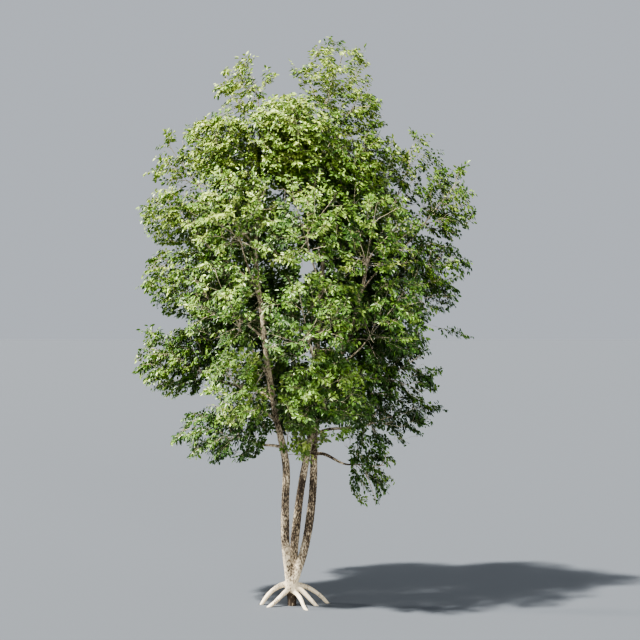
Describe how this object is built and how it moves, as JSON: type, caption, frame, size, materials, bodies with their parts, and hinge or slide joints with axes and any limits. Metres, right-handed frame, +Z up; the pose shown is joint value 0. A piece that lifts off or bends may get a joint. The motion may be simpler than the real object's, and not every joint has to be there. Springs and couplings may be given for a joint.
{
  "type": "maple tree",
  "caption": "Multi-stemmed maple tree: slender stems fork from one foot with arched surface roots, under a tall oval crown of small green leaves with gaps between its boughs",
  "frame": {"origin": "middle of the flat cut under the foot, at ground level", "axes": "+Z up along the tree's height; the tree faces -Y, and +X is to the right of somebody who looks along +Y"},
  "size_m": [4.7509, 4.2293, 7.9514],
  "materials": {
    "bark": "rough, pale grey-brown, flaking",
    "foliage": "satin leaf green"
  },
  "bodies": {
    "root": {"bough_back_left": "bark", "bough_back_right": "bark", "bough_dome_back": "bark", "bough_front_left": "bark", "bough_front_mid": "bark", "bough_front_right": "bark", "bough_hanging": "bark", "bough_low_front": "bark", "bough_low_front_right": "bark", "bough_low_left": "bark", "bough_low_right": "bark", "bough_lowest_left": "bark", "bough_lowest_right": "bark", "bough_mid_back_left": "bark", "bough_mid_back_right": "bark", "bough_mid_front": "bark", "bough_mid_front_left": "bark", "bough_mid_front_right": "bark", "bough_shoulder_left": "bark", "bough_shoulder_right": "bark", "bough_side_left": "bark", "bough_side_right": "bark", "bough_upper_left": "bark", "bough_upper_right": "bark", "foliage_back_left": "foliage", "foliage_back_right": "foliage", "foliage_by_stems": "foliage", "foliage_dome_back": "foliage", "foliage_dome_left": "foliage", "foliage_dome_mid": "foliage", "foliage_dome_right": "foliage", "foliage_front_left": "foliage", "foliage_front_mid": "foliage", "foliage_front_right": "foliage", "foliage_hanging": "foliage", "foliage_low_back": "foliage", "foliage_low_front": "foliage", "foliage_low_front_right": "foliage", "foliage_low_left": "foliage", "foliage_low_right": "foliage", "foliage_lowest_left": "foliage", "foliage_lowest_right": "foliage", "foliage_mid_back_left": "foliage", "foliage_mid_back_right": "foliage", "foliage_mid_front": "foliage", "foliage_mid_front_left": "foliage", "foliage_mid_front_right": "foliage", "foliage_neck_right": "foliage", "foliage_shoulder_left": "foliage", "foliage_shoulder_right": "foliage", "foliage_side_left": "foliage", "foliage_side_right": "foliage", "foliage_top_left": "foliage", "foliage_top_right": "foliage", "foliage_upper_left": "foliage", "foliage_upper_right": "foliage", "stem_left": "bark", "stem_middle": "bark", "stem_right": "bark", "trunk": "bark"}
  },
  "joints": []
}
